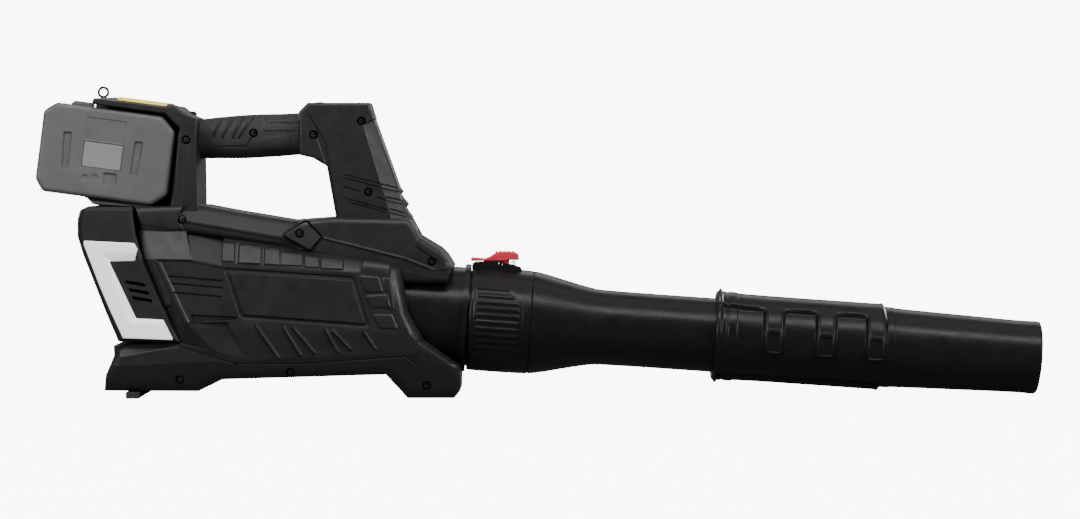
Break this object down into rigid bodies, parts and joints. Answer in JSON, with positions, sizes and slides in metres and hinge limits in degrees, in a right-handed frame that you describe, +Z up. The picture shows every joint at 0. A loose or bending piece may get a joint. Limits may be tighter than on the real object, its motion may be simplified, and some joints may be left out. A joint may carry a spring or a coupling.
{
  "type": "cordless leaf blower",
  "caption": "Handheld cordless leaf blower with slide-on battery, open top handle, axial fan, latched blow tube and telescoping nozzle.",
  "frame": {"origin": "on the ground under the middle of the machine's length, in its middle plane", "axes": "+X towards the outlet, +Y to the machine's left, +Z up"},
  "size_m": [0.8476, 0.1136, 0.2623],
  "materials": {
    "housing_black": "fine moulded grain, satin",
    "tube_black": "smooth satin",
    "grip_rubber": "textured matt",
    "trim_silver": "satin silver",
    "pack_grey": "fine grain, matt",
    "plate_light": "matt film",
    "plate_yellow": "matt film",
    "control_red": "satin red",
    "steel": "satin",
    "motor_metal": "painted laminations",
    "cells": "sleeved cells",
    "board": "finned heat sink",
    "fan_plastic": "satin"
  },
  "bodies": {
    "housing": {"housing_right": "housing_black", "housing_left": "housing_black", "rear_cover": "housing_black", "trim_right": "trim_silver", "trim_left": "trim_silver", "grip_right": "grip_rubber", "grip_left": "grip_rubber", "roof_label": "plate_yellow", "fan_duct": "tube_black", "motor_can": "motor_metal", "bearing_rear": "steel", "bearing_front": "steel", "tail_cone": "tube_black", "intake_guard": "housing_black", "controller_board": "board", "dial_sensor": "fan_plastic", "terminal_block": "housing_black", "foot_pad_right": "grip_rubber", "foot_pad_left": "grip_rubber", "screw_wall": "steel", "screw_grip": "steel", "screw_post_rear": "steel", "screw_post_front": "steel", "screw_post_low": "steel", "screw_beam": "steel", "screw_lip": "steel", "screw_bay": "steel", "screw_rear_foot": "steel", "screw_rail": "steel", "screw_front_foot": "steel"},
    "fan": {"fan_impeller": "fan_plastic", "motor_shaft": "steel", "rotor_magnets": "motor_metal", "fan_nut": "steel"},
    "tube": {"rear_tube": "tube_black", "latch_pin": "steel", "latch_spring": "steel"},
    "latch": {"latch_lever": "control_red"},
    "nozzle": {"nozzle": "tube_black"},
    "battery": {"battery_case": "pack_grey", "battery_lid": "pack_grey", "battery_label": "plate_light", "battery_cells": "cells"},
    "battery_button": {"battery_button": "pack_grey"},
    "dial": {"speed_dial": "control_red"},
    "ring": {"strap_ring": "steel"}
  },
  "joints": [
    {"name": "fan_spin", "type": "hinge", "parent": "housing", "child": "fan", "pos_m": [-0.1656, 0, 0.07278], "axis": [0.9976, 0, -0.0698], "continuous": true},
    {"name": "tube_pull", "type": "slide", "parent": "housing", "child": "tube", "axis": [0.9976, 0, -0.0698], "range_m": [0, 0.06]},
    {"name": "latch_press", "type": "hinge", "parent": "tube", "child": "latch", "pos_m": [-0.0336, 0, 0.1114], "axis": [0, 1, 0], "range_deg": [0, 8], "stiffness_Nm_per_rad": 0.5, "springref_deg": -2.86, "deforming": ["latch_spring"]},
    {"name": "nozzle_slide", "type": "slide", "parent": "tube", "child": "nozzle", "axis": [0.9976, 0, -0.0698], "range_m": [-0.088, 0]},
    {"name": "battery_slide", "type": "slide", "parent": "housing", "child": "battery", "axis": [-0.9914, 0, 0.1305], "range_m": [0, 0.1]},
    {"name": "button_press", "type": "slide", "parent": "battery", "child": "battery_button", "axis": [-0.1305, 0, -0.9914], "range_m": [0, 0.0025], "stiffness_N_per_m": 800, "springref_m": -0.0005},
    {"name": "dial_turn", "type": "hinge", "parent": "housing", "child": "dial", "pos_m": [-0.1865, 0, 0.2391], "axis": [0, 1, 0], "range_deg": [0, 270]},
    {"name": "ring_swivel", "type": "hinge", "parent": "housing", "child": "ring", "pos_m": [-0.3702, 0, 0.25], "axis": [0, 0, 1], "continuous": true}
  ]
}
